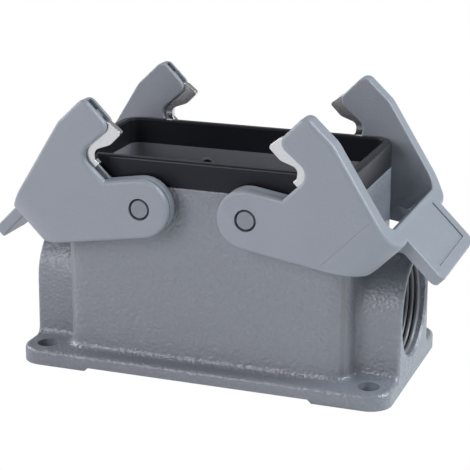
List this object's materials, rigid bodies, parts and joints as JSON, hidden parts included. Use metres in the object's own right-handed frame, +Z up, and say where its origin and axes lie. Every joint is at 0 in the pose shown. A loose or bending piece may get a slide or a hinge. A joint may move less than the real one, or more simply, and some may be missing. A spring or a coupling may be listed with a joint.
{
  "type": "heavy duty rectangular connector base",
  "caption": "Surface-mounting connector housing with side cable entry, rim seal and two hinged locking levers.",
  "frame": {"origin": "centre of the base plate's underside", "axes": "+X along the length towards the cable entry, +Y to the back, +Z up"},
  "size_m": [0.13, 0.0602, 0.077],
  "materials": {
    "grey_powder_coat": "textured powder coat on die-cast aluminium",
    "grey_lever_plastic": "satin moulded polyamide",
    "black_rubber": "satin nitrile rubber",
    "spring_steel": "stamped stainless spring steel",
    "grey_zinc": "matt grey plated rivet"
  },
  "bodies": {
    "base": {"housing": "grey_powder_coat", "seal": "black_rubber", "left_front_pin": "grey_zinc", "left_back_pin": "grey_zinc", "right_front_pin": "grey_zinc", "right_back_pin": "grey_zinc"},
    "left_lever_body": {"left_lever": "grey_lever_plastic", "left_front_hook": "spring_steel", "left_back_hook": "spring_steel"},
    "right_lever_body": {"right_lever": "grey_lever_plastic", "right_front_hook": "spring_steel", "right_back_hook": "spring_steel"}
  },
  "joints": [
    {"name": "left_lever_hinge", "type": "hinge", "parent": "base", "child": "left_lever_body", "pos_m": [-0.01492, 0, 0.04896], "axis": [0, 1, 0], "range_deg": [0, 45]},
    {"name": "right_lever_hinge", "type": "hinge", "parent": "base", "child": "right_lever_body", "pos_m": [0.01492, 0, 0.04896], "axis": [0, -1, 0], "range_deg": [0, 45]}
  ]
}
